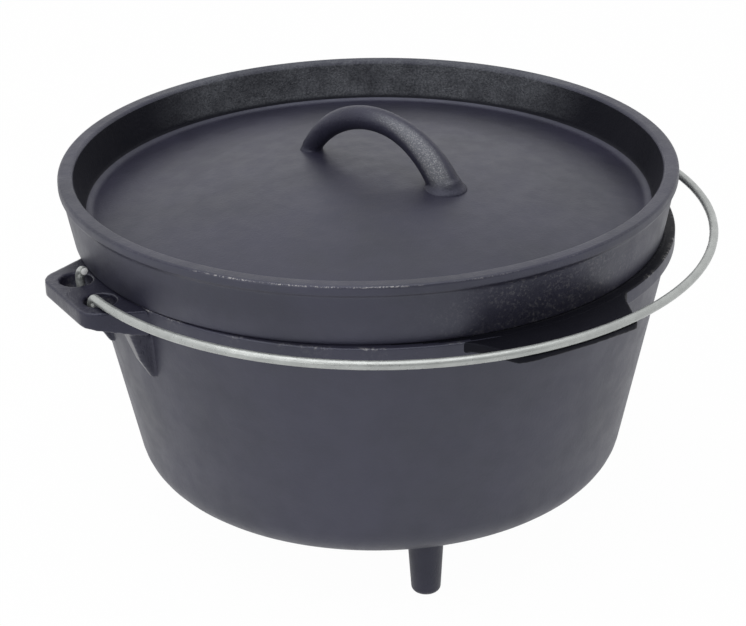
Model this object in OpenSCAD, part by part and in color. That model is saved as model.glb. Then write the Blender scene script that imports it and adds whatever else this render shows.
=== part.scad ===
// Camp dutch oven: three-legged cast pot, flanged lid with a loop, and a swinging wire bail.
// Millimetres. The origin is on the pot's axis at the floor, +Z is up, the bail's hooks lie on X
// and the bail rests towards -Y.

/* [Pot] */
// Height from the underside to the top of the ring
pot_h = 131; // [110:1:150]
// Outer radius of the wall, carried up to the ring's top
wall_top_r = 151.5; // [120:0.5:180]
// How much smaller that radius is, carried down to the underside
taper = 27; // [20:0.5:34]
// How far the ring round the mouth stands out from the wall's top
ring_out = 1.5; // [1:0.5:5]
// Height of the ring
ring_h = 8; // [6:1:10]
// Thickness of the wall and the floor
wall = 6; // [5:0.5:7]
// Radius of the outer bottom corner
base_round = 21; // [12:1:24]

/* [Legs] */
// Height of the legs below the pot
leg_h = 32.5; // [25:0.5:45]
// Diameter of a leg at the pot
leg_top_d = 17; // [15:0.5:20]
// Diameter of a leg at the foot
leg_foot_d = 14; // [12:0.5:15]
// Radius of the foot's edge
leg_edge = 4; // [2:0.5:5]
// Distance of the legs' middle inside the underside's radius
leg_in = 22.5; // [18:0.5:34]
// Direction of the front leg
leg_turn = -108; // [-120:1:-90]

/* [Ears] */
// Reach of the ears beyond the ring's edge
ear_reach = 23.5; // [22:0.5:28]
// Width of an ear where it leaves the ring
ear_root_w = 73; // [70:1:80]
// Width of an ear at its tip, before the corners are rounded
ear_tip_w = 59; // [54:1:64]
// Radius of the tip's corners
ear_corner = 11.5; // [8:0.5:14]
// Thickness of an ear at the ring
ear_root_t = 13; // [12:0.5:13.5]
// Thickness of an ear at its tip
ear_tip_t = 8; // [6:0.5:9]
// Diameter of the holes that the bail is laced through
hole_d = 16; // [15.5:0.5:16.5]
// Distance of the holes' centres beyond the ring's edge
hole_out = 9.5; // [9:0.5:10]
// Spacing of the two holes in an ear
hole_gap = 28; // [27:0.5:28.5]
// Thickness of the two ribs under an ear, at the ring's top
rib_t = 14; // [12:0.5:15]
// Thickness of a rib at its lower end
rib_end_t = 3.5; // [2:0.5:6]
// Distance between the ribs' inner faces
rib_gap = 44; // [40:1:46]
// Height of a rib below the ring's top
rib_h = 42.5; // [38:0.5:48]
// Reach of a rib beyond the ring's edge
rib_out = 3.5; // [2:0.5:5]

/* [Bail rest] */
// Reach of the tab beyond the middle of the wire that lies on it
tab_lip = 1; // [0:0.5:6]
// Width of the tab at the ring
tab_root_w = 86; // [74:1:96]
// Width of the tab at its outer edge
tab_tip_w = 62; // [52:1:74]
// Thickness of the tab
tab_t = 5; // [4:0.5:8]
// How far the tab's middle lies to the right of the pot's front
tab_off = 6; // [0:0.5:8]

/* [Lid] */
// Height from the seat to the top of the rim
lid_h = 32.5; // [28:0.5:40]
// How far the rim stands out beyond the seat
rim_flare = 6.5; // [4:0.5:7]
// Width of the rim's flat top
rim_w = 7.5; // [6:0.5:9]
// Height of the rim's outer band
band_h = 4.5; // [3:0.5:7]
// Overhang of the band over the wall below it
band_out = 2; // [1:0.5:3]
// How far the seat stays inside the edge of the pot's ring
seat_in = 1.5; // [1:0.5:3]
// Depth of the coal tray at its edge, below the rim
tray_depth = 22; // [18:0.5:24]
// Distance of the tray's floor inside the rim's edge
tray_in = 15; // [14:0.5:20]
// Rise of the tray's floor at its centre
dome_rise = 17.5; // [8:0.5:19]
// Thickness of the domed floor
lid_t = 5; // [4:0.5:6]
// Clearance between the locating ring and the pot's mouth
locate_gap = 7; // [6:0.5:12]
// Width of the locating ring
locate_w = 5.5; // [4:0.5:8]
// Depth of the locating ring below the seat
locate_h = 5; // [3:0.5:8]
// How far the loose lid sits off the pot's axis
lid_off = 4.5; // [0:0.5:5]
// Direction in which it sits off
lid_off_turn = 120; // [90:5:150]

/* [Lid loop] */
// Diameter of the loop's bar
loop_d = 13; // [11:0.5:15]
// Distance between the feet's centres at the tray's floor
loop_span = 89; // [78:1:96]
// Height of the loop's top above the rim
loop_top = 26.5; // [22:0.5:34]
// Direction of the loop, from the lid's centre to its front foot
loop_turn = -70; // [-90:1:-45]
// How far the loop sits off the lid's axis, towards +X
loop_off = 5; // [0:0.5:8]

/* [Bail] */
// Diameter of the wire
wire_d = 4.5; // [4:0.1:4.8]
// Distance of the hooks outside the middle of their holes
hook_out = 3.8; // [3:0.1:3.9]
// Distance of the bow's centre in front of the hinge line
bail_fwd = 9.5; // [8:0.5:12]
// Radius of the hooks round the hinge line, to the wire's centre
hook_r = 12; // [11.8:0.1:12.3]
// Radius of the bend between the hook and the bow
bend_r = 6; // [5:0.5:6.5]
// How far a hook goes round the hinge line
hook_sweep = 235; // [200:5:245]
// Clearance between the resting wire and the castings
rest_gap = 0.3; // [0.3:0.1:0.6]

/* [Hidden] */
$fn = 96;
ring_top = leg_h + pot_h;
rim_z = ring_top + lid_h;
ring_r = wall_top_r + ring_out;
base_r = wall_top_r - taper;
leg_r = base_r - leg_in;
seat_r = ring_r - seat_in;
rim_r = seat_r + rim_flare;
tray_r = rim_r - tray_in;
locate_r = wall_top_r - wall - locate_gap;
flare = (wall_top_r - base_r) / pot_h;
flare_angle = atan(flare);
// Straight run that a rounding of radius 1 takes from each side of the pot's bottom corner
corner_run = tan(45 - flare_angle / 2);
inner_round = base_round - wall;
dome_r = (pow(tray_r, 2) + pow(dome_rise, 2)) / (2 * dome_rise);
tray_z = rim_z - tray_depth;
dome_top = tray_z + dome_rise;
// Outer radius of the lid's sloping side at the height of the tray's edge
rim_foot_r = seat_r + (rim_r - band_out - seat_r) * (tray_z - ring_top) / (lid_h - band_h - band_out);
tray_fillet = 4;
// How far the ears and the tab lie below the ring's top, clear of the lid's seat
flush_gap = 0.1;
ear_top = ring_top - flush_gap;
ring_edge = 2;
// Shares of a rib's height at which its edge stops being upright and turns in to the wall
rib_straight = 0.3;
rib_turn = 0.72;
// How far the rib's edge still stands off the wall at that turn
rib_off = 4.5;
loop_rise = rim_z + loop_top - loop_d / 2 - dome_height(loop_span / 2);
loop_r = (pow(loop_span / 2, 2) + pow(loop_rise, 2)) / (2 * loop_rise);
loop_z = rim_z + loop_top - loop_d / 2 - loop_r;
ear_tip_r = ring_r + ear_reach;
hole_r = ring_r + hole_out;
hole_t = ear_root_t - (ear_root_t - ear_tip_t) * (hole_r - ring_r) / (ear_tip_r - ring_r);
hinge_z = ear_top - hole_t / 2;
arm_z = hole_t / 2 + wire_d / 2 + rest_gap;
bend_end = hook_r + bend_r;
hook_x = hole_r + hook_out;
// Radius of the bail's bow, to the wire's centre
bail_r = sqrt(pow(hook_x, 2) + pow(bend_end - bail_fwd, 2));
tab_r = bail_fwd + bail_r + tab_lip;
bow_start = asin((bend_end - bail_fwd) / bail_r);
// Angle of the bow's two ends, which are solids of their own
arm_turn = 20;
collar_more = 0.1;
collar_l = 1;
collar_lap = 0.1;
// How far inside the ring's edge the pieces that join the pot start, before they are trimmed
sink = 20;
iron = [0.16, 0.16, 0.18];
zinc = [0.75, 0.77, 0.75];

// Points on an arc round (cx, cy) from angle a0 to a1
function arc(cx, cy, r, a0, a1, steps = 8) =
    [for (i = [0:steps]) let (a = a0 + (a1 - a0) * i / steps) [cx + r * cos(a), cy + r * sin(a)]];

// Height of the tray's domed floor at a distance from the lid's axis
function dome_height(r) = dome_top - dome_r + sqrt(pow(dome_r, 2) - pow(r, 2));

// Radius of a pot wall of this virtual base radius at height z
function wall_r(base, z) = base + (z - leg_h) * flare;

// Half of a flaring vessel's outline, rounded at the bottom corner, up to the ring's top
function vessel(base, bottom, rounding) =
    let (corner_r = wall_r(base, bottom), centre_r = corner_r - rounding * corner_run)
    concat([[0, bottom]],
           arc(centre_r, bottom + rounding, rounding, -90, -flare_angle),
           [[wall_r(base, ring_top), ring_top], [0, ring_top]]);

// The casting's outside, filled in, which also trims whatever joins it
module pot_outside() {
    rotate_extrude() polygon(vessel(base_r, leg_h, base_round));
    rotate_extrude() polygon(concat(
        [[0, ring_top - ring_h], [wall_r(base_r, ring_top - ring_h), ring_top - ring_h]],
        arc(ring_r - ring_edge, ring_top - ring_h + ring_edge, ring_edge, -90, 0, 4),
        arc(ring_r - ring_edge, ring_top - ring_edge, ring_edge, 0, 90, 4),
        [[0, ring_top]]));
}

module pot() {
    color(iron) difference() {
        pot_outside();
        rotate_extrude() polygon(vessel(base_r - wall, leg_h + wall, inner_round));
        translate([0, 0, ring_top - 1]) cylinder(r = wall_top_r - wall, h = 2);
    }
}

// An ear towards +X: a wedge-shaped plate with two holes, on two ribs
module ear() {
    root = ring_r - sink;
    side = ear_tip_w / 2 - ear_corner;
    side_angle = atan((ear_root_w - ear_tip_w) / 2 / (ear_tip_r - ring_r));
    plan = concat(
        [[root, -ear_root_w / 2 - (ring_r - root) * tan(side_angle)]],
        arc(ear_tip_r - ear_corner, -side, ear_corner, -90 + side_angle, 0),
        arc(ear_tip_r - ear_corner, side, ear_corner, 0, 90 - side_angle),
        [[root, ear_root_w / 2 + (ring_r - root) * tan(side_angle)]]);
    underside = [[root, -ear_root_t], [ring_r, -ear_root_t], [ear_tip_r, -ear_tip_t],
                 [ear_tip_r + 1, -ear_tip_t], [ear_tip_r + 1, -ear_root_t - 1],
                 [root, -ear_root_t - 1]];
    rib_edge = ring_r + rib_out;
    rib = [[root, -ear_tip_t], [rib_edge, -ear_tip_t], [rib_edge, -rib_straight * rib_h],
           [wall_r(base_r, ear_top - rib_turn * rib_h) + rib_off, -rib_turn * rib_h],
           [wall_r(base_r, ear_top - rib_h), -rib_h], [root, -rib_h]];
    // The rib seen along X: its inner face is upright and its outer face leans in to the lower end
    lean = [[rib_gap / 2, 0], [rib_gap / 2 + rib_t, 0], [rib_gap / 2 + rib_end_t, -rib_h],
            [rib_gap / 2, -rib_h]];
    color(iron) difference() {
        translate([0, 0, ear_top]) {
            difference() {
                translate([0, 0, -ear_root_t]) linear_extrude(ear_root_t) polygon(plan);
                rotate([90, 0, 0]) linear_extrude(2 * ear_root_w, center = true) polygon(underside);
                for (s = [-1, 1])
                    translate([hole_r, s * hole_gap / 2, -ear_root_t - 1])
                        cylinder(d = hole_d, h = ear_root_t + 2);
            }
            for (s = [0, 1])
                mirror([0, s, 0]) intersection() {
                    rotate([90, 0, 0]) linear_extrude(2 * ear_root_w, center = true) polygon(rib);
                    rotate([90, 0, 90]) linear_extrude(ear_tip_r) polygon(lean);
                }
        }
        pot_outside();
    }
}

module ear_left() { rotate([0, 0, 180]) ear(); }

module ear_right() { ear(); }

// The flat tab at the front that the bail lies on
module bail_rest() {
    root = ring_r - sink;
    slope = (tab_root_w - tab_tip_w) / 2 / (tab_r - ring_r);
    root_w = tab_root_w / 2 + slope * (ring_r - root);
    tip_w = tab_tip_w / 2 - slope;
    plan = [[-root_w, -root], [-tip_w, -tab_r - 1], [tip_w, -tab_r - 1], [root_w, -root]];
    color(iron) difference() {
        intersection() {
            translate([tab_off, 0, ear_top - tab_t]) linear_extrude(tab_t) polygon(plan);
            translate([0, 0, ear_top - tab_t]) cylinder(r = tab_r, h = tab_t);
        }
        pot_outside();
    }
}

// One leg, turned to its direction
module leg(turn) {
    profile = concat([[0, 0]],
                     arc(leg_foot_d / 2 - leg_edge, leg_edge, leg_edge, -90, 0, 6),
                     [[leg_top_d / 2, leg_h], [leg_top_d / 2, leg_h + base_round],
                      [0, leg_h + base_round]]);
    color(iron) difference() {
        rotate([0, 0, turn]) translate([leg_r, 0, 0]) rotate_extrude() polygon(profile);
        pot_outside();
    }
}

module leg_front() { leg(leg_turn); }

module leg_right() { leg(leg_turn + 120); }

module leg_back() { leg(leg_turn + 240); }

// Moves from the lid's own axis to where the loose lid sits
module on_lid() {
    rotate([0, 0, lid_off_turn]) translate([lid_off, 0, 0]) rotate([0, 0, -lid_off_turn]) children();
}

// The domed floor's upper surface, from its edge to the lid's axis
function dome_arc() = arc(0, dome_top - dome_r, dome_r, acos(tray_r / dome_r), 90, 12);

// Half of the outline of the lid's floor, with its seat and locating ring
function lid_outline() =
    let (inner = locate_r - locate_w, under = dome_r - lid_t)
    concat(arc(0, dome_top - dome_r, under, 90, acos(inner / under), 12),
           [[inner, ring_top - locate_h], [locate_r, ring_top - locate_h], [locate_r, ring_top],
            [seat_r, ring_top], [rim_foot_r, tray_z]],
           dome_arc());

module lid() { color(iron) on_lid() rotate_extrude() polygon(lid_outline()); }

// The raised rim that keeps coals on the lid
module lid_rim() {
    color(iron) on_lid() rotate_extrude() polygon([
        [tray_r, tray_z], [rim_foot_r, tray_z], [rim_r - band_out, rim_z - band_h - band_out],
        [rim_r, rim_z - band_h], [rim_r, rim_z], [rim_r - rim_w, rim_z],
        [tray_r + tray_fillet / 2, tray_z + tray_fillet]]);
}

// The loop is an arc of round bar that stops at the tray's floor
module lid_loop() {
    color(iron) on_lid() difference() {
        translate([loop_off, 0, loop_z]) rotate([0, 0, loop_turn]) rotate([90, 0, 0])
            rotate_extrude() translate([loop_r, 0]) circle(d = loop_d);
        rotate_extrude() polygon(concat([[0, 0], [tray_r, 0]], dome_arc()));
    }
}

// Turns the drawing plane so that its x runs forward to -Y and its y runs up
module in_hook_plane() { rotate([90, 0, -90]) children(); }

// A bent length of wire in the drawing plane, from angle a0 through sweep
module wire_bend(r, a0, sweep) {
    rotate([0, 0, a0]) rotate_extrude(angle = sweep) translate([r, 0]) circle(d = wire_d);
}

// A short straight length, a hair thicker than the wire, that two bends end in
module collar(length) { cylinder(d = wire_d + collar_more, h = length); }

// Moves to the middle of the bow, which lies flat at rest
module on_bow() { translate([0, -bail_fwd, hinge_z + arm_z]) children(); }

// The bow's right end, up to where the hook's bend begins
module arm() { color(zinc) on_bow() wire_bend(bail_r, -bow_start - arm_turn, arm_turn); }

module arm_right() { arm(); }

module arm_left() { mirror([1, 0, 0]) arm(); }

// The bow between the arms
module bail() {
    first = bow_start + arm_turn;
    color(zinc) on_bow() wire_bend(bail_r, 180 + first, 180 - 2 * first);
}

// The hook at the bow's right end, cut off square to the bow
module hook() {
    color(zinc) difference() {
        translate([hook_x, 0, hinge_z]) {
            translate([0, collar_l / 2 - bend_end, arm_z]) rotate([90, 0, 0]) collar(collar_l);
            in_hook_plane() translate([bend_end, arm_z - bend_r, 0]) wire_bend(bend_r, 90, 90);
            translate([0, -hook_r, -collar_lap]) collar(arm_z - bend_r + 2 * collar_lap);
            in_hook_plane() wire_bend(hook_r, -hook_sweep, hook_sweep);
        }
        on_bow() rotate([0, 0, -bow_start]) translate([bail_r, -wire_d, 0])
            cube([2 * wire_d, 2 * wire_d, 2 * wire_d], center = true);
    }
}

module hook_right() { hook(); }

module hook_left() { mirror([1, 0, 0]) hook(); }

pot();
ear_left();
ear_right();
bail_rest();
leg_front();
leg_right();
leg_back();
lid();
lid_rim();
lid_loop();
bail();
arm_left();
arm_right();
hook_left();
hook_right();
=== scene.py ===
"""Camp dutch oven: cast pot on three legs, flanged lid with a loop, and a galvanised wire bail."""

import logging
import math
from collections.abc import Callable, Sequence
from dataclasses import dataclass
from enum import Enum

import bpy
from mathutils import Matrix, Vector


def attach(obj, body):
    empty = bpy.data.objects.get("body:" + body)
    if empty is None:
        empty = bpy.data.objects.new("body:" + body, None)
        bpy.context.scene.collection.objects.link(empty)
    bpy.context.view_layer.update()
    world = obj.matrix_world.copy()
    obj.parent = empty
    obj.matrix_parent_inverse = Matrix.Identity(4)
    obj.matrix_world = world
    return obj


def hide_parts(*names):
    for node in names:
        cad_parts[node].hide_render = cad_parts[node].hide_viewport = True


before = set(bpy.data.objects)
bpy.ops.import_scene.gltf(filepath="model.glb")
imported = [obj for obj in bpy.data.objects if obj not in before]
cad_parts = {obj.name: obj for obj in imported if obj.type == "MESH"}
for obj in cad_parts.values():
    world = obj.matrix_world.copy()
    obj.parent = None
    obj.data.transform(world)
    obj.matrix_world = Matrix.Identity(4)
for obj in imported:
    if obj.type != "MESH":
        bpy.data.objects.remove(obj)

log = logging.getLogger("camp_oven")

MM = 0.001

# Steps of a full turn and of a sector, and of a rounded corner in degrees.
ROUND_STEPS = 256
SECTOR_STEPS = 48
CORNER_STEP = 9

# Steps of a drilled hole, and the length of the drill in millimetres.
HOLE_STEPS = 64
DRILL_LENGTH = 60.0

# The largest share of a side that a rounded corner takes.
CORNER_SHARE = 0.48

# A run longer than the first, in millimetres, is held by points this near its ends.
LONG_RUN = 6.0
HOLD = 1.2

# Edges flatter than these degrees are shaded smooth.
TURNED_ANGLE = 50
CAST_ANGLE = 60

Point = tuple[float, float]
Triple = tuple[float, float, float]
Piece = bpy.types.Object
Socket = bpy.types.NodeSocket
Mark = Callable[[Vector, Vector], float]
Choice = Callable[[Vector], bool]


class Side(Enum):
    """The ears' sides of the pot, with the direction of each in degrees."""

    LEFT = 180
    RIGHT = 0


class Leg(Enum):
    """The legs, with the direction of each in degrees."""

    FRONT = -108
    RIGHT = 12
    BACK = 132


class SurfaceMark(Enum):
    """Names of the point attributes that the iron finish reads."""

    BARE_AND_GLINT = "bare_and_glint"
    ROUGH = "rough"


@dataclass(frozen=True)
class Corner:
    """A corner of a turned outline, in millimetres, with the radius that rounds it."""

    r: float
    z: float
    round: float = 0.0


def smoothstep(low: float, high: float, value: float) -> float:
    """Eases from 0 at low to 1 at high.

    Args:
        low: Value at which the result leaves 0.
        high: Value at which the result reaches 1.
        value: Value to ease.

    Returns:
        A number from 0 to 1.
    """
    t = min(1.0, max(0.0, (value - low) / (high - low)))
    return t * t * (3 - 2 * t)


def bump_at(centre: float, width: float, value: float) -> float:
    """Gives 1 at centre and falls to 0 at width from it."""
    return 1.0 - smoothstep(0.0, width, abs(value - centre))


def even(value: float) -> Mark:
    """Gives a rule that is the same all over a piece."""
    return lambda at, normal: value


def rounded(corners: Sequence[Corner]) -> list[Point]:
    """Draws an outline with its corners rounded and its long runs held by near points.

    Args:
        corners: The outline's corners in order; the first and last stay sharp.

    Returns:
        Points (r, z) in millimetres.
    """
    points: list[Point] = []
    for i, corner in enumerate(corners):
        here = Vector((corner.r, corner.z))
        if corner.round <= 0 or i in (0, len(corners) - 1):
            points.append((here.x, here.y))
            continue
        back = Vector((corners[i - 1].r, corners[i - 1].z)) - here
        on = Vector((corners[i + 1].r, corners[i + 1].z)) - here
        half = back.angle(on) / 2
        run = min(corner.round / math.tan(half), CORNER_SHARE * back.length, CORNER_SHARE * on.length)
        radius = run * math.tan(half)
        start = here + back.normalized() * run
        end = here + on.normalized() * run
        middle = here + (back.normalized() + on.normalized()).normalized() * (radius / math.sin(half))
        first = start - middle
        sweep = first.angle_signed(end - middle)
        steps = max(3, math.ceil(abs(math.degrees(sweep)) / CORNER_STEP))
        for k in range(steps + 1):
            turned = Matrix.Rotation(-sweep * k / steps, 2) @ first
            points.append((middle.x + turned.x, middle.y + turned.y))
    held: list[Point] = [points[0]]
    for a, b in zip(points, points[1:]):
        run = math.dist(a, b)
        if run > LONG_RUN:
            for share in (HOLD / run, 0.5, 1 - HOLD / run):
                held.append((a[0] + (b[0] - a[0]) * share, a[1] + (b[1] - a[1]) * share))
        held.append(b)
    return held


class Bench:
    """The modelling steps that the castings and the wire share."""

    @staticmethod
    def clear() -> None:
        """Leaves edit mode and deselects everything."""
        if bpy.context.object and bpy.context.object.mode != "OBJECT":
            bpy.ops.object.mode_set(mode="OBJECT")
        bpy.ops.object.select_all(action="DESELECT")

    @staticmethod
    def pick(*pieces: Piece) -> None:
        """Selects only some pieces and makes the first one active.

        Args:
            pieces: The pieces.
        """
        Bench.clear()
        for piece in pieces:
            piece.select_set(True)
        bpy.context.view_layer.objects.active = pieces[0]

    @staticmethod
    def label(piece: Piece, name: str) -> None:
        """Names an object and its mesh."""
        piece.name = name
        piece.data.name = name

    @staticmethod
    def draw(name: str, points: Sequence[Vector], fill: bool) -> Piece:
        """Draws a line of points by extruding one vertex, and stays in edit mode.

        Args:
            name: Name of the new object.
            points: Points in millimetres.
            fill: Whether to close the line and fill it with a face.

        Returns:
            The new object, in edit mode and selected all over.
        """
        Bench.clear()
        bpy.ops.mesh.primitive_plane_add(size=MM)
        piece = bpy.context.object
        Bench.label(piece, name)
        bpy.ops.object.mode_set(mode="EDIT")
        bpy.ops.mesh.select_mode(type="VERT")
        bpy.ops.mesh.select_all(action="SELECT")
        bpy.ops.mesh.merge(type="CENTER")
        bpy.ops.transform.translate(value=points[0] * MM)
        for here, there in zip(points, points[1:]):
            bpy.ops.mesh.extrude_vertices_move(TRANSFORM_OT_translate={"value": (there - here) * MM})
        bpy.ops.mesh.select_all(action="SELECT")
        if fill:
            bpy.ops.mesh.edge_face_add()
        return piece

    @staticmethod
    def tidy_edit() -> None:
        """Merges doubles, turns the faces outwards and leaves edit mode."""
        bpy.ops.mesh.select_all(action="SELECT")
        bpy.ops.mesh.remove_doubles(threshold=0.01 * MM)
        bpy.ops.mesh.normals_make_consistent(inside=False)
        bpy.ops.object.mode_set(mode="OBJECT")

    @staticmethod
    def turn(name: str, outline: Sequence[Point], axis: Point = (0.0, 0.0)) -> Piece:
        """Turns an outline round an upright axis into a closed form.

        Args:
            name: Name of the new object.
            outline: Points (r, z) in millimetres, from the axis back to the axis.
            axis: Place of the axis in millimetres.

        Returns:
            The turned object.
        """
        piece = Bench.draw(name, [Vector((axis[0] + r, axis[1], z)) for r, z in outline], False)
        bpy.ops.mesh.spin(steps=ROUND_STEPS, angle=math.tau, center=(axis[0] * MM, axis[1] * MM, 0),
                          axis=(0, 0, 1))
        Bench.tidy_edit()
        return piece

    @staticmethod
    def slab(name: str, plan: Sequence[Vector], push: Vector) -> Piece:
        """Fills a flat outline and extrudes it into a slab.

        Args:
            name: Name of the new object.
            plan: Corners of the outline in millimetres.
            push: Extrusion in millimetres.

        Returns:
            The slab.
        """
        piece = Bench.draw(name, plan, True)
        bpy.ops.mesh.extrude_region_move(TRANSFORM_OT_translate={"value": push * MM})
        Bench.tidy_edit()
        return piece

    @staticmethod
    def sector(name: str, section: Sequence[Point], middle: float, half: float) -> Piece:
        """Sweeps a filled section round the pot's axis to both sides of a direction.

        Args:
            name: Name of the new object.
            section: Corners (r, z) in millimetres.
            middle: Direction of the sector's middle in radians.
            half: Half of its angle in radians.

        Returns:
            The sector.
        """
        start = Matrix.Rotation(middle + half, 3, "Z")
        piece = Bench.draw(name, [start @ Vector((r, 0, z)) for r, z in section], True)
        bpy.ops.mesh.spin(steps=SECTOR_STEPS, angle=2 * half, center=(0, 0, 0), axis=(0, 0, 1))
        Bench.tidy_edit()
        return piece

    @staticmethod
    def rod(name: str, path: Sequence[Vector], diameter: float, detail: int,
            swell: Sequence[float]) -> Piece:
        """Draws a round bar with closed ends along a path.

        Args:
            name: Name of the new object.
            path: Points in millimetres.
            diameter: Diameter of the bar in millimetres.
            detail: Blender's resolution of its round section.
            swell: Share of the diameter that the bar has at each point.

        Returns:
            The bar.
        """
        Bench.clear()
        bpy.ops.curve.primitive_nurbs_path_add()
        bar = bpy.context.object
        bar.data.splines.clear()
        bar.data.dimensions = "3D"
        bar.data.twist_mode = "MINIMUM"
        bar.data.bevel_depth = diameter / 2 * MM
        bar.data.bevel_resolution = detail
        bar.data.use_fill_caps = True
        spline = bar.data.splines.new("POLY")
        spline.points.add(len(path) - 1)
        for point, at, share in zip(spline.points, path, swell):
            point.co = (*(at * MM), 1)
            point.radius = share
        bpy.ops.object.convert(target="MESH")
        piece = bpy.context.object
        Bench.label(piece, name)
        return piece

    @staticmethod
    def copy_turned(piece: Piece, name: str, degrees: float) -> Piece:
        """Copies a piece with a mesh of its own and turns the copy round the pot's axis.

        Args:
            piece: The piece to copy.
            name: Name of the copy.
            degrees: Turn to the left, seen from above.

        Returns:
            The copy.
        """
        Bench.pick(piece)
        bpy.ops.object.duplicate()
        copy = bpy.context.object
        Bench.label(copy, name)
        bpy.ops.object.mode_set(mode="EDIT")
        bpy.ops.mesh.select_all(action="SELECT")
        bpy.ops.transform.rotate(value=-math.radians(degrees), orient_axis="Z", center_override=(0, 0, 0))
        bpy.ops.object.mode_set(mode="OBJECT")
        return copy

    @staticmethod
    def modify(piece: Piece, kind: str, **settings: object) -> None:
        """Adds a modifier and applies it.

        Args:
            piece: The piece to change.
            kind: Kind of modifier.
            settings: Values of its settings by name.
        """
        Bench.pick(piece)
        modifier = piece.modifiers.new(kind.lower(), kind)
        for key, value in settings.items():
            setattr(modifier, key, value)
        bpy.ops.object.modifier_apply(modifier=modifier.name)

    @staticmethod
    def drill(piece: Piece, x: float, y: float, diameter: float, z: float) -> None:
        """Cuts an upright round hole through a piece, all sizes in millimetres.

        Args:
            piece: The piece to cut.
            x: Place of the hole along X.
            y: Place of the hole along Y.
            diameter: Diameter of the hole.
            z: Height of the cutter's middle.
        """
        Bench.clear()
        bpy.ops.mesh.primitive_cylinder_add(vertices=HOLE_STEPS, radius=diameter / 2 * MM,
                                            depth=DRILL_LENGTH * MM, location=(x * MM, y * MM, z * MM))
        cutter = bpy.context.object
        Bench.modify(piece, "BOOLEAN", operation="DIFFERENCE", object=cutter, solver="EXACT")
        bpy.data.objects.remove(cutter)

    @staticmethod
    def slice(piece: Piece, at: Vector, outward: Vector) -> None:
        """Cuts off what lies outward of a plane.

        Args:
            piece: The piece to cut.
            at: A point of the plane in millimetres.
            outward: The plane's normal, of length 1, towards the side that goes.
        """
        Bench.pick(piece)
        bpy.ops.object.mode_set(mode="EDIT")
        bpy.ops.mesh.select_all(action="SELECT")
        bpy.ops.mesh.bisect(plane_co=at * MM, plane_no=outward, use_fill=True, clear_outer=True)
        Bench.tidy_edit()

    @staticmethod
    def cast(name: str, parts: Sequence[Piece], voxel: float, passes: int) -> Piece:
        """Joins overlapping parts into one casting whose edges and inner corners are soft.

        Args:
            name: Name of the casting.
            parts: The parts; the first one takes in the others.
            voxel: Size of the cells that join them, in millimetres.
            passes: How many times the surface is smoothed.

        Returns:
            The casting.
        """
        Bench.pick(*parts)
        bpy.ops.object.join()
        piece = bpy.context.object
        Bench.label(piece, name)
        Bench.modify(piece, "REMESH", mode="VOXEL", voxel_size=voxel * MM, adaptivity=0.0)
        Bench.modify(piece, "SMOOTH", factor=0.5, iterations=passes)
        return piece

    @staticmethod
    def shade(piece: Piece, degrees: float) -> None:
        """Shades a piece smooth across edges flatter than an angle."""
        Bench.pick(piece)
        bpy.ops.object.shade_smooth_by_angle(angle=math.radians(degrees))

    @staticmethod
    def mark(piece: Piece, which_mark: SurfaceMark, rule: Mark) -> None:
        """Stores on each point how worn or rough the surface is there, or how much painted glint it takes.

        Args:
            piece: The piece to mark.
            which_mark: Which attribute to store.
            rule: Gives a number from 0 to 1 for a place in millimetres and a normal.
        """
        store = piece.data.attributes.new(which_mark.value, "FLOAT", "POINT")
        values = [rule(v.co / MM, v.normal) for v in piece.data.vertices]
        store.data.foreach_set("value", values)

    @staticmethod
    def finish(piece: Piece, bare_and_glint: Mark, rough: Mark, degrees: float) -> Piece:
        """Marks where a casting is worn, takes painted glints and is rough, and shades it.

        Args:
            piece: The casting.
            bare_and_glint: Rule for its bare metal and its painted glints and highlights.
            rough: Rule for its roughness.
            degrees: Edges flatter than this are shaded smooth.

        Returns:
            The same casting.
        """
        Bench.mark(piece, SurfaceMark.BARE_AND_GLINT, bare_and_glint)
        Bench.mark(piece, SurfaceMark.ROUGH, rough)
        Bench.shade(piece, degrees)
        return piece

    @staticmethod
    def second(piece: Piece, finish: bpy.types.Material, rule: Choice) -> None:
        """Gives some faces of a dressed piece a finish of their own.

        Args:
            piece: The piece, which already has its main material.
            finish: The material of those faces.
            rule: Tells from a face's middle in millimetres whether it takes it.
        """
        piece.data.materials.append(finish)
        last = len(piece.data.materials) - 1
        for face in piece.data.polygons:
            if rule(face.center / MM):
                face.material_index = last

    @staticmethod
    def settle(piece: Piece, body: str, slot: str, finish: bpy.types.Material,
               nodes: Sequence[str]) -> Piece:
        """Dresses a piece, sets it on its body and names the solids that it stands for.

        Args:
            piece: The finished piece.
            body: Body that it moves with.
            slot: Material slot of the record; not used.
            finish: Its material.
            nodes: Solids that it replaces.

        Returns:
            The same piece.
        """
        piece.data.materials.clear()
        piece.data.materials.append(finish)
        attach(piece, body)
        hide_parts(*nodes)
        log.info("%s: %d faces, stands for %s", piece.name, len(piece.data.polygons), ", ".join(nodes))
        return piece


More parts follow.
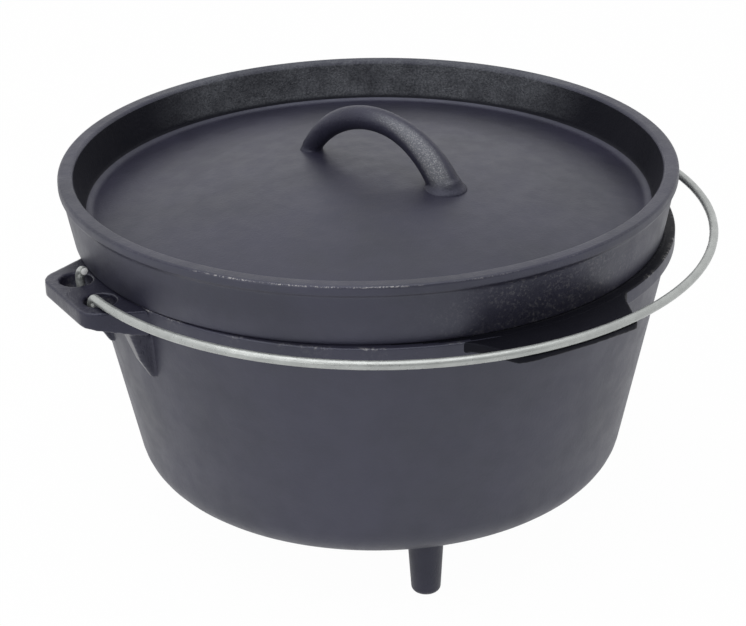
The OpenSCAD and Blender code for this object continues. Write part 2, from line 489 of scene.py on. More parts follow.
class Nodes:
    """A small hand for wiring one material's nodes."""

    def __init__(self, name: str) -> None:
        """Starts an empty material with an output and a surface shader.

        Args:
            name: Name of the material.
        """
        self.material = bpy.data.materials.new(name)
        self.material.use_nodes = True
        self.tree = self.material.node_tree
        self.tree.nodes.clear()
        self.output = self.add("ShaderNodeOutputMaterial")
        self.surface = self.add("ShaderNodeBsdfPrincipled")
        self.link(self.surface.outputs["BSDF"], self.output.inputs["Surface"])
        self.place = self.add("ShaderNodeTexCoord").outputs["Object"]

    def add(self, kind: str) -> bpy.types.Node:
        """Adds a node of a kind."""
        return self.tree.nodes.new(kind)

    def link(self, source: Socket, target: Socket) -> None:
        """Joins two sockets."""
        self.tree.links.new(source, target)

    def noise(self, scale: float, detail: float, rough: float = 0.5) -> Socket:
        """Adds noise on the object's own coordinates.

        Args:
            scale: Cells per metre.
            detail: Octaves.
            rough: How strong the finer octaves are.

        Returns:
            The noise value.
        """
        node = self.add("ShaderNodeTexNoise")
        node.inputs["Scale"].default_value = scale
        node.inputs["Detail"].default_value = detail
        node.inputs["Roughness"].default_value = rough
        self.link(self.place, node.inputs["Vector"])
        return node.outputs["Fac"]

    def cells(self, scale: float) -> Socket:
        """Adds the distance to the nearest of many scattered points.

        Args:
            scale: Points per metre.

        Returns:
            The distance.
        """
        node = self.add("ShaderNodeTexVoronoi")
        node.inputs["Scale"].default_value = scale
        self.link(self.place, node.inputs["Vector"])
        return node.outputs["Distance"]

    def remap(self, source: Socket, old: Point, new: Point = (0.0, 1.0)) -> Socket:
        """Maps a range of values to another with eased ends.

        Args:
            source: Value to map.
            old: Range that it comes from.
            new: Range that it goes to.

        Returns:
            The mapped value.
        """
        node = self.add("ShaderNodeMapRange")
        node.interpolation_type = "SMOOTHSTEP"
        self.link(source, node.inputs["Value"])
        for key, value in zip(("From Min", "From Max", "To Min", "To Max"), (*old, *new)):
            node.inputs[key].default_value = value
        return node.outputs["Result"]

    def math(self, kind: str, a: Socket, b: Socket | float) -> Socket:
        """Combines two values.

        Args:
            kind: Name of the operation.
            a: First value.
            b: Second value, as a number or a socket.

        Returns:
            The result.
        """
        node = self.add("ShaderNodeMath")
        node.operation = kind
        self.link(a, node.inputs[0])
        if isinstance(b, float):
            node.inputs[1].default_value = b
        else:
            self.link(b, node.inputs[1])
        return node.outputs[0]

    def blend(self, share: Socket, a: object, b: object) -> Socket:
        """Mixes two colours, each given as a colour or as a socket.

        Args:
            share: Share of the second colour.
            a: First colour.
            b: Second colour.

        Returns:
            The mixed colour.
        """
        node = self.add("ShaderNodeMix")
        node.data_type = "RGBA"
        self.link(share, node.inputs["Factor"])
        for name, colour in (("A", a), ("B", b)):
            socket = next(s for s in node.inputs if s.name == name and s.type == "RGBA")
            if isinstance(colour, tuple):
                socket.default_value = (*colour, 1.0)
            else:
                self.link(colour, socket)
        return next(s for s in node.outputs if s.type == "RGBA")

    def stored(self, name: str) -> Socket:
        """Reads a value that is stored on the piece's points.

        Args:
            name: Name of the attribute.

        Returns:
            The value.
        """
        node = self.add("ShaderNodeAttribute")
        node.attribute_name = name
        return node.outputs["Fac"]

    def raise_bump(self, height: Socket, depth: float, under: Socket | None) -> Socket:
        """Adds surface relief on top of other relief.

        Args:
            height: Height from 0 to 1.
            depth: Depth of the relief in metres.
            under: Normal of the relief below it, if there is any.

        Returns:
            The new normal.
        """
        node = self.add("ShaderNodeBump")
        node.inputs["Strength"].default_value = 1.0
        node.inputs["Distance"].default_value = depth
        self.link(height, node.inputs["Height"])
        if under is not None:
            self.link(under, node.inputs["Normal"])
        return node.outputs["Normal"]


@dataclass(frozen=True)
class IronFinish:
    """Seasoned sand-cast iron: satin near-black skin with grain, pits, bare metal where it is worn, and
    the same pale colour painted as glints and highlights where a piece marks them.
    """

    name: str
    dark: Triple = (0.0145, 0.0142, 0.0245)
    light: Triple = (0.0225, 0.0215, 0.0385)
    # Pale colour of bare worn metal, also painted as glints on edges and as the loop's highlight.
    bare_and_glint: Triple = (0.42, 0.41, 0.40)
    gloss_low: float = 0.43
    gloss_high: float = 0.51
    specular: float = 0.8
    sheen: Triple = (0.82, 0.85, 1.0)
    grain: float = 0.00010
    wave: float = 0.00020
    dust_and_light: Triple = (0.11, 0.115, 0.128)
    pits: float = 0.0003
    fleck_scale: float = 460.0
    fleck: Point = (0.47, 0.62)
    fleck_least: float = 0.0
    dash: Point = (0.46, 0.60)

    def make(self) -> bpy.types.Material:
        """Builds the material.

        Returns:
            The material.
        """
        n = Nodes(self.name)
        tone = n.noise(16.0, 5.0, 0.6)
        sand = n.noise(820.0, 3.0, 0.65)
        wave = n.noise(38.0, 2.0, 0.4)
        rough = n.stored(SurfaceMark.ROUGH.value)
        pit = n.remap(n.cells(850.0), (0.10, 0.55))
        blotch = n.remap(n.noise(210.0, 4.0, 0.65), (0.40, 0.62), (0.1, 1.0))
        pitted = n.math("MULTIPLY", n.math("MULTIPLY", pit, blotch), rough)
        fleck = n.remap(n.noise(self.fleck_scale, 4.0, 0.75), self.fleck, (self.fleck_least, 1.0))
        dash = n.remap(n.noise(70.0, 2.0, 0.5), self.dash)
        # Bare wear and painted glints, where the points are marked for them.
        worn_and_glint = n.math("MULTIPLY", n.math("MULTIPLY", fleck, dash), n.stored(SurfaceMark.BARE_AND_GLINT.value))
        skin = n.blend(n.remap(tone, (0.3, 0.7)), self.dark, self.light)
        speck = n.remap(sand, (0.36, 0.68), (0.5, 1.0))
        patch = n.remap(n.noise(60.0, 4.0, 0.6), (0.34, 0.64), (0.55, 1.0))
        sandy = n.remap(rough, (0.35, 0.95))
        dust = n.math("MULTIPLY", n.math("MULTIPLY", speck, patch), sandy)
        # Pale dust in rough places; on the rim's back inner wall it also paints the light falling there.
        skin = n.blend(dust, skin, self.dust_and_light)
        n.link(n.blend(worn_and_glint, skin, self.bare_and_glint), n.surface.inputs["Base Color"])
        gloss = n.remap(n.noise(95.0, 4.0, 0.6), (0.3, 0.7), (self.gloss_low, self.gloss_high))
        n.link(n.math("MAXIMUM", gloss, n.math("MULTIPLY", sandy, 0.85)), n.surface.inputs["Roughness"])
        normal = n.raise_bump(wave, self.wave, None)
        normal = n.raise_bump(sand, self.grain, normal)
        normal = n.raise_bump(pitted, self.pits, normal)
        n.link(normal, n.surface.inputs["Normal"])
        n.surface.inputs["Specular IOR Level"].default_value = self.specular
        n.surface.inputs["Specular Tint"].default_value = (*self.sheen, 1.0)
        return n.material


@dataclass(frozen=True)
class ZincFinish:
    """Galvanised steel wire: pale zinc with soft spangle, dull bloom and fine draw marks."""

    name: str
    bright: Triple = (0.42, 0.437, 0.426)
    dull: Triple = (0.365, 0.38, 0.371)
    metallic: float = 0.55

    def make(self) -> bpy.types.Material:
        """Builds the material.

        Returns:
            The material.
        """
        n = Nodes(self.name)
        bloom = n.remap(n.noise(110.0, 4.0, 0.6), (0.35, 0.68))
        n.link(n.blend(bloom, self.bright, self.dull), n.surface.inputs["Base Color"])
        n.link(n.remap(n.noise(300.0, 4.0, 0.6), (0.3, 0.7), (0.24, 0.42)), n.surface.inputs["Roughness"])
        normal = n.raise_bump(n.noise(140.0, 2.0, 0.5), 0.00005, None)
        normal = n.raise_bump(n.noise(1600.0, 3.0, 0.6), 0.000006, normal)
        n.link(normal, n.surface.inputs["Normal"])
        n.surface.inputs["Metallic"].default_value = self.metallic
        return n.material


@dataclass
class PotCasting:
    """The pot with its ring, ears, bail rest and legs."""

    finish: IronFinish
    # Near-black finish that paints shade on the ring's top and the bail rest.
    painted_shade_finish: IronFinish
    leg_finish: IronFinish
    ear_finish: IronFinish
    foot: float = 32.5
    top: float = 163.5
    mouth_r: float = 151.5
    ring_r: float = 153.0
    ring_h: float = 8.0
    base_r: float = 124.5
    wall: float = 6.0
    base_round: float = 21.0
    ear_top: float = 163.4
    ear_tip_r: float = 176.47
    ear_root_w: float = 73.0
    ear_tip_w: float = 59.0
    ear_corner: float = 11.5
    ear_root_t: float = 13.0
    ear_tip_t: float = 8.0
    hole_r: float = 162.5
    hole_d: float = 16.0
    hole_gap: float = 28.0
    rib_t: float = 14.0
    rib_end_t: float = 3.5
    rib_gap: float = 44.0
    rib_h: float = 42.5
    rib_out: float = 3.5
    tab_r: float = 176.97
    tab_root_w: float = 86.0
    tab_tip_w: float = 62.0
    tab_t: float = 5.0
    tab_tip_t: float = 2.4
    tab_root_round: float = 22.0
    tab_right: float = 2.5
    tab_bend: float = 7.0
    tab_corners: Point = (11.0, 4.0)
    tab_slope: float = 7.5
    tab_off: float = 6.0
    leg_r: float = 102.0
    leg_top_d: float = 18.4
    leg_foot_d: float = 14.8
    sink: float = 4.5

    def wall_r(self, z: float) -> float:
        """Gives the outer radius of the wall at a height."""
        return self.base_r + (z - self.foot) * (self.mouth_r - self.base_r) / (self.top - self.foot)

    def build(self) -> None:
        """Builds and dresses every piece of the pot."""
        shade = self.painted_shade_finish.make()
        bowl = Bench.settle(self.bowl(), "pot", "iron", self.finish.make(), ["pot"])
        # Painted shade: the ring's top under the lid is painted near-black as the lid's shadow.
        Bench.second(bowl, shade, self.in_lid_shadow)
        self.repeat(self.ear(), "ear", Side, self.ear_finish.make())
        # Painted shade: the whole bail rest is painted near-black, as in the lid's shadow.
        Bench.settle(self.bail_rest(), "pot", "iron", shade, ["bail_rest"])
        self.repeat(self.leg(), "leg", Leg, self.leg_finish.make())

    def repeat(self, pattern: Piece, stem: str, places: type[Enum], finish: bpy.types.Material) -> None:
        """Sets copies of a casting round the pot, and takes the pattern away.

        Args:
            pattern: The casting, in the direction of the right ear.
            stem: First word of the copies' names.
            places: Their last words and directions.
            finish: Their material.
        """
        for place in places:
            node = f"{stem}_{place.name.lower()}"
            copy = Bench.copy_turned(pattern, f"{node}_casting", place.value)
            Bench.settle(copy, "pot", "iron", finish, [node])
        bpy.data.objects.remove(pattern)

    def bowl(self) -> Piece:
        """Turns the bowl with its ring, hollow inside.

        Returns:
            The bowl.
        """
        under = self.top - self.ring_h
        floor = self.foot + self.wall
        ring_top = [Corner(self.ring_r - inset, self.top) for inset in (4.8, 4.2, 3.6, 3.0, 2.4)]
        outline = rounded([
            Corner(0, floor), Corner(self.wall_r(floor) - self.wall, floor, self.base_round - self.wall),
            Corner(self.mouth_r - self.wall, self.top, 1.2), *ring_top, Corner(self.ring_r, self.top, 1.0),
            Corner(self.ring_r, under, 2.0), Corner(self.wall_r(under), under, 2.5),
            Corner(self.base_r, self.foot, self.base_round), Corner(0, self.foot)])
        # The ring's upper edge takes bare wear with painted glints along it.
        return Bench.finish(Bench.turn("pot_bowl", outline), self.ring_wear_and_glint, self.bowl_rough, TURNED_ANGLE)

    def in_lid_shadow(self, at: Vector) -> bool:
        """Tells whether a place is on the ring's top where the lid's shadow is painted dark, at the right
        up to its edge.

        Args:
            at: Middle of a face in millimetres.

        Returns:
            Whether it takes the finish.
        """
        turn = math.degrees(math.atan2(at.y, at.x))
        # Share of the ring's top that keeps the plain iron, outside the painted shadow.
        unshaded = 1 - smoothstep(-120, -92, turn) + smoothstep(20, 60, turn)
        return at.z > self.top - 1.0 and math.hypot(at.x, at.y) < self.ring_r - 0.1 - 3.9 * unshaded

    def ring_wear_and_glint(self, at: Vector, normal: Vector) -> float:
        """Gives how bare the ring's upper edge is worn, with painted glints along it, but not where the
        bail rest covers it.

        Args:
            at: Place in millimetres.
            normal: Direction that the surface faces there; not used.

        Returns:
            A number from 0 to 1.
        """
        r = math.hypot(at.x, at.y)
        covered = at.y < 0 and abs(at.x - self.tab_off) < self.tab_root_w / 2 + 4
        return 0.0 if covered else 0.8 * bump_at(self.top, 1.2, at.z) * bump_at(self.ring_r, 1.6, r)

    def bowl_rough(self, at: Vector, normal: Vector) -> float:
        """Gives how rough the sand left the pot's inside."""
        return 0.5 if math.hypot(at.x, at.y) < self.wall_r(at.z) - 3 and at.z > self.foot + 3 else 0.06

    def wall_patch(self, name: str, direction: float, half: float, low: float) -> Piece:
        """Sweeps a strip that lies hidden in the pot's wall, for a casting to grow out of.

        Args:
            name: Name of the strip.
            direction: Direction of its middle in degrees.
            half: Half of its angle in degrees.
            low: Height of its lower edge.

        Returns:
            The strip.
        """
        skin = 0.5
        deep = 5.0
        under = self.top - self.ring_h
        section = [(self.wall_r(low) - deep, low), (self.wall_r(low) - skin, low),
                   (self.wall_r(under) - skin, under), (self.ring_r - skin, under + 1.0),
                   (self.ring_r - skin, self.top - 2.0), (self.mouth_r - deep, self.top - 2.0)]
        return Bench.sector(name, section, math.radians(direction), math.radians(half))

    def ear(self) -> Piece:
        """Casts the right ear with its two holes and two ribs.

        Returns:
            The ear.
        """
        root = self.ring_r - self.sink
        inset = self.ear_tip_w / 2 - self.ear_corner
        slope = math.atan((self.ear_root_w - self.ear_tip_w) / 2 / (self.ear_tip_r - self.ring_r))
        wide = self.ear_root_w / 2 + self.sink * math.tan(slope)
        half_plan = [(root, wide)]
        for k in range(9):
            a = (math.pi / 2 - slope) * (1 - k / 8)
            half_plan.append((self.ear_tip_r - self.ear_corner + self.ear_corner * math.cos(a),
                              inset + self.ear_corner * math.sin(a)))
        low = self.ear_top - self.ear_root_t
        plan = [Vector((x, y, low)) for x, y in half_plan]
        plan += [Vector((x, -y, low)) for x, y in reversed(half_plan)]
        plate = Bench.slab("ear_plate", plan, Vector((0, 0, self.ear_root_t)))
        self.thin_tip(plate)
        for y in (-self.hole_gap / 2, self.hole_gap / 2):
            Bench.drill(plate, self.hole_r, y, self.hole_d, self.ear_top)
        below_ribs = self.ear_top - self.rib_h - 8
        parts = [plate, self.wall_patch("ear_patch", direction=0, half=21, low=below_ribs)]
        parts += [self.rib(way) for way in (-1, 1)]
        piece = Bench.cast("ear_pattern", parts, voxel=0.8, passes=5)
        return Bench.finish(piece, self.hole_rub_and_light, even(0.25), CAST_ANGLE)

    def thin_tip(self, plate: Piece) -> None:
        """Cuts an ear's underside to a slope, so that it thins towards its tip."""
        below = Vector((self.ear_root_t - self.ear_tip_t, 0, self.ring_r - self.ear_tip_r)).normalized()
        Bench.slice(plate, Vector((self.ring_r, 0, self.ear_top - self.ear_root_t)), below)

    def rib(self, way: int) -> Piece:
        """Cuts one rib under an ear from plate, with an outer face that leans in to its lower end.

        Args:
            way: Side of the ear that it is on, as a sign along Y.

        Returns:
            The rib.
        """
        root = self.ring_r - self.sink
        edge = self.ring_r + self.rib_out
        end = self.ear_top - self.rib_h
        turn = self.ear_top - 0.72 * self.rib_h
        drop = [(root, self.ear_top - self.ear_tip_t), (edge, self.ear_top - self.ear_tip_t),
                (edge, self.ear_top - 0.3 * self.rib_h), (self.wall_r(turn) + 4.5, turn),
                (self.wall_r(end), end), (self.wall_r(end) - self.sink, end),
                (root - self.sink, self.ear_top - 0.5 * self.rib_h)]
        plan = [Vector((x, way * self.rib_gap / 2, z)) for x, z in drop]
        piece = Bench.slab("ear_rib", plan, Vector((0, way * self.rib_t, 0)))
        outward = Vector((0, way * self.rib_h, self.rib_end_t - self.rib_t)).normalized()
        corner = Vector((0, way * (self.rib_gap / 2 + self.rib_t), self.ear_top))
        Bench.slice(piece, corner, outward)
        return piece

    def hole_rub_and_light(self, at: Vector, normal: Vector) -> float:
        """Gives how bare the wire has rubbed the holes' walls, a paler ring that also paints the light on
        them.
        """
        near = math.hypot(abs(at.x) - self.hole_r, abs(at.y) - self.hole_gap / 2)
        return 0.15 * bump_at(self.hole_d / 2, 1.4, near)

    def front(self, r: float, turn: float, soft: float = 0.0) -> Corner:
        """Gives a corner in plan, at a radius and a turn to the right of the pot's front."""
        return Corner(r * math.sin(turn), -r * math.cos(turn), soft)

    def bail_rest(self) -> Piece:
        """Casts the tab at the front that the bail lies on.

        Returns:
            The tab.
        """
        ends = (-self.tab_root_w / 2, self.tab_root_w / 2 + self.tab_right)
        tips = (-self.tab_tip_w / 2, self.tab_tip_w / 2 + self.tab_right)
        root = [math.asin((self.tab_off + end) / self.ring_r) for end in ends]
        tip = [math.asin((self.tab_off + end) / self.tab_r) for end in tips]
        bend = math.radians(self.tab_bend)
        inside = self.ring_r - self.sink
        hidden = self.ring_r - 2.6
        edge = self.ring_r + 0.5
        soft = self.tab_root_round
        last, first = root[1] + bend, root[0] - bend
        corners = [self.front(hidden, first), self.front(edge, root[0], soft),
                   self.front(self.tab_r, tip[0], self.tab_corners[0])]
        corners += [self.front(self.tab_r, tip[0] + (tip[1] - tip[0]) * k / 8) for k in range(2, 7)]
        corners += [self.front(self.tab_r, tip[1], self.tab_corners[1]), self.front(edge, root[1], soft),
                    self.front(hidden, last)]
        corners += [self.front(inside, last + (first - last) * k / 12) for k in range(13)]
        low = self.ear_top - self.tab_t
        plan = [Vector((x, y, low)) for x, y in rounded(corners)]
        plate = Bench.slab("tab_plate", plan, Vector((0, 0, self.tab_t)))
        ahead = Vector((self.tab_off, -self.tab_r, 0)).normalized()
        below = ahead * (self.tab_t - self.tab_tip_t) - Vector((0, 0, self.tab_slope))
        Bench.slice(plate, ahead * (self.tab_r - self.tab_slope) + Vector((0, 0, low)), below.normalized())
        parts = [plate, self.wall_patch("tab_patch", direction=-88, half=20, low=self.top - 26)]
        piece = Bench.cast("bail_rest_casting", parts, voxel=0.7, passes=3)
        return Bench.finish(piece, even(0.0), even(0.15), CAST_ANGLE)

    def leg(self) -> Piece:
        """Turns one tapered leg with a blunt foot and a soft root.

        Returns:
            The leg, in the direction of the right ear.
        """
        outline = rounded([
            Corner(0, 0), Corner(3.2, 0.0, 1.0), Corner(self.leg_foot_d / 2, 2.6, 3.0),
            Corner(self.leg_top_d / 2, self.foot, 2.4),
            Corner(self.leg_top_d / 2 + 3, self.foot + 0.4, 0.3),
            Corner(self.leg_top_d / 2 + 3, self.foot + 2.5), Corner(0, self.foot + 2.5)])
        piece = Bench.turn("leg_pattern", outline, (self.leg_r, 0.0))
        return Bench.finish(piece, lambda at, normal: 0.35 * bump_at(1.5, 3.0, at.z), even(0.2),
                            TURNED_ANGLE)


@dataclass
class LidCasting:
    """The flanged lid with its coal tray, and the loop that it is lifted by."""

    finish: IronFinish
    # Near-black finish that paints shade on the rim's inner wall.
    painted_shade_finish: IronFinish
    loop_finish: IronFinish
    wall_finish: IronFinish
    axis: Point = (-2.25, 3.897114)
    seat_z: float = 163.5
    rim_z: float = 196.0
    seat_r: float = 151.5
    rim_r: float = 157.96
    rim_w: float = 7.5
    band_h: float = 4.5
    band_out: float = 1.6
    tray_depth: float = 22.0
    tray_r: float = 143.0
    dome_rise: float = 17.5
    lid_t: float = 5.0
    locate_r: float = 138.5
    locate_w: float = 5.5
    locate_h: float = 5.0
    loop_d: float = 12.2
    loop_span: float = 89.0
    loop_top: float = 26.5
    loop_t: float = 13.0
    loop_past: float = 0.13
    loop_turn: float = -70.0
    loop_off: float = 5.0
    front_pad_r: float = 11.4
    back_pad_r: float = 6.4
    back_pad_in: float = 0.5
    scuff_turn: float = -84.0
    scuff_half: float = 34.0
    glint_side: Point = (-0.57, -0.82)
    lit_sandy_side: Point = (0.5, 0.866)
    highlight_side: Triple = (-0.62, -0.45, 0.64)

    @property
    def tray_z(self) -> float:
        """Height of the tray's edge."""
        return self.rim_z - self.tray_depth

    @property
    def dome_r(self) -> float:
        """Radius of the domed floor."""
        return (self.tray_r ** 2 + self.dome_rise ** 2) / (2 * self.dome_rise)

    def dome_z(self, r: float) -> float:
        """Gives the height of the domed floor at a distance from the lid's axis."""
        return self.tray_z + self.dome_rise - self.dome_r + math.sqrt(self.dome_r ** 2 - r ** 2)

    def from_axis(self, at: Vector) -> float:
        """Gives the distance of a place from the lid's axis."""
        return math.hypot(at.x - self.axis[0], at.y - self.axis[1])

    def towards(self, at: Vector, side: Point) -> float:
        """Gives how far a place lies to one side of the lid, as a share of its distance from the axis."""
        out = (at.x - self.axis[0]) * side[0] + (at.y - self.axis[1]) * side[1]
        return out / max(self.from_axis(at), 1.0)

    def build(self) -> None:
        """Builds and dresses the lid and its loop."""
        dish = Bench.settle(self.dish(), "lid", "iron", self.finish.make(), ["lid", "lid_rim"])
        # Painted shade: the rim's inner wall is painted near-black, lifted at the back by pale dust.
        Bench.second(dish, self.painted_shade_finish.make(), self.shaded_inside_rim)
        Bench.second(dish, self.wall_finish.make(), self.outside)
        Bench.settle(self.loop(), "lid", "iron", self.loop_finish.make(), ["lid_loop"])

    def dish(self) -> Piece:
        """Turns the lid from its domed floor, rim, seat and locating ring.

        Returns:
            The lid.
        """
        inner = self.locate_r - self.locate_w
        low = self.seat_z - self.locate_h
        under = [Corner(r, self.dome_z(r) - self.lid_t) for r in (0, 15, 35, 60, 85, 110, 126)]
        floor = [Corner(r, self.dome_z(r)) for r in (134, 124, 110, 85, 60, 35, 15, 0)]
        wall_top = self.rim_z - self.band_h - self.band_out
        outline = rounded([
            *under, Corner(inner, self.dome_z(inner) - self.lid_t, 3.0), Corner(inner, low, 0.8),
            Corner(self.locate_r, low, 1.2), Corner(self.locate_r, self.seat_z, 1.0),
            Corner(self.seat_r, self.seat_z, 1.2), Corner(self.rim_r - self.band_out, wall_top, 6.0),
            Corner(self.rim_r, self.rim_z - self.band_h, 2.0), Corner(self.rim_r, self.rim_z, 1.6),
            Corner(self.rim_r - self.rim_w, self.rim_z, 2.0), Corner(self.tray_r + 1.6, self.tray_z, 4.5),
            *floor])
        piece = Bench.turn("lid_dish", outline, self.axis)
        return Bench.finish(piece, self.rim_wear_and_glint, self.tray_rough, TURNED_ANGLE)

    def shaded_inside_rim(self, at: Vector) -> bool:
        """Tells whether a place is on the rim's inner wall, which is painted dark as shade."""
        upright = self.tray_z + 2.5 < at.z < self.rim_z - 1.6
        return upright and self.tray_r < self.from_axis(at) < self.rim_r - self.rim_w + 0.3

    def outside(self, at: Vector) -> bool:
        """Tells whether a place is on the lid's outer wall or the band round its rim.

        Args:
            at: Middle of a face in millimetres.

        Returns:
            Whether it takes the finish.
        """
        lean = (self.rim_r - self.seat_r) / (self.rim_z - self.seat_z)
        skin = self.seat_r + (at.z - self.seat_z) * lean - self.rim_w / 2
        return self.seat_z < at.z < self.rim_z - 0.9 and self.from_axis(at) > skin

    def rim_wear_and_glint(self, at: Vector, normal: Vector) -> float:
        """Gives how bare the rim's outer edge and the wall above the bail rest are worn, with painted
        glints along the edge, strongest on the front-left side.

        Args:
            at: Place in millimetres.
            normal: Direction that the surface faces there; not used.

        Returns:
            A number from 0 to 1.
        """
        r = self.from_axis(at)
        edge = bump_at(self.rim_r - 0.4, 0.55, r) * bump_at(self.rim_z - 0.5, 0.6, at.z)
        ahead = self.towards(at, self.glint_side)
        turn = math.degrees(math.atan2(at.y - self.axis[1], at.x - self.axis[0]))
        wall = self.outside(at) and at.z < self.rim_z - self.band_h - 1
        scuff = 0.2 * bump_at(self.scuff_turn, self.scuff_half, turn) if wall else 0.0
        # The edge's painted glints grow strong on the front-left side.
        return scuff + edge * (0.12 + 0.88 * smoothstep(0.86, 0.96, ahead))

    def tray_rough(self, at: Vector, normal: Vector) -> float:
        """Gives how rough the sand left the inside of the rim and the underside; the rough back inner wall
        also takes a pale dust colour that paints the light on it.

        Args:
            at: Place in millimetres.
            normal: Direction that the surface faces there; not used.

        Returns:
            A number from 0 to 1.
        """
        r = self.from_axis(at)
        if at.z < self.dome_z(min(r, self.tray_r)) - 2 and r < self.locate_r:
            return 0.5
        edge = self.rim_r - 0.6 if at.z > self.rim_z - 1.0 else self.rim_r - self.rim_w + 0.5
        inside = smoothstep(self.tray_r - 1, self.tray_r + 2, r) * (1 - smoothstep(edge, edge + 0.6, r))
        # Back inner wall: rough sand, and pale dust that also paints light.
        back = smoothstep(0.40, 0.97, self.towards(at, self.lit_sandy_side))
        return 0.08 + inside * smoothstep(self.tray_z + 1, self.tray_z + 6, at.z) * (0.1 + 0.82 * back)

    def loop(self) -> Piece:
        """Casts the loop: a round bar that thickens to a pad at its front foot.

        Returns:
            The loop.
        """
        half = self.loop_span / 2
        top = self.rim_z + self.loop_top - self.loop_t / 2
        rise = top - self.dome_z(half)
        radius = (half ** 2 + rise ** 2) / (2 * rise)
        reach = math.asin(min(1.0, half / radius)) + self.loop_past
        along = Vector((math.cos(math.radians(self.loop_turn)), math.sin(math.radians(self.loop_turn)), 0))
        foot = Vector((self.axis[0] + self.loop_off, self.axis[1], 0))
        middle = foot + Vector((0, 0, top - radius))
        steps = 48
        path: list[Vector] = []
        swell: list[float] = []
        for k in range(steps + 1):
            share = k / steps
            a = reach * (2 * share - 1)
            path.append(middle + along * (radius * math.sin(a)) + Vector((0, 0, radius * math.cos(a))))
            swell.append(0.82 + 0.2 * smoothstep(0, 0.35, share) + 0.36 * smoothstep(0.55, 1.0, share))
        bar = Bench.rod("loop_bar", path, self.loop_d, detail=8, swell=swell)
        pads = [self.pad(foot + along * half, self.front_pad_r),
                self.pad(foot - along * (half - self.back_pad_in), self.back_pad_r)]
        piece = Bench.cast("lid_loop_casting", [bar, *pads], voxel=0.7, passes=10)
        return Bench.finish(piece, self.loop_highlight, even(0.35), CAST_ANGLE)

    def pad(self, at: Vector, radius: float) -> Piece:
        """Turns a low flared pad for a foot of the loop.

        Args:
            at: Place of the foot.
            radius: Radius of the pad at the tray's floor.

        Returns:
            The pad.
        """
        z = self.dome_z(self.loop_span / 2)
        outline = rounded([
            Corner(0, z - 3), Corner(radius, z - 3), Corner(radius, z - 0.6, 0.4),
            Corner(radius * 0.78, z + 1.8, 3.0), Corner(radius * 0.64, z + 5), Corner(0, z + 5)])
        return Bench.turn("loop_pad", outline, (at.x, at.y))

    def loop_highlight(self, at: Vector, normal: Vector) -> float:
        """Gives the painted sparkle highlight along the loop's front half, on the side towards the left
        ear.

        Args:
            at: Place in millimetres.
            normal: Direction that the surface faces there.

        Returns:
            A number from 0 to 1.
        """
        turn = math.radians(self.loop_turn)
        out = at.x - self.axis[0] - self.loop_off
        along = out * math.cos(turn) + (at.y - self.axis[1]) * math.sin(turn)
        face = normal.dot(Vector(self.highlight_side).normalized())
        least = 0.80 - 0.2 * smoothstep(5, 42, along)
        above = smoothstep(1.0, 8.0, at.z - self.dome_z(self.loop_span / 2))
        # Painted highlight: a pale speckled band where the loop faces that side.
        return smoothstep(-8, 14, along) * smoothstep(least, least + 0.32, face) * above


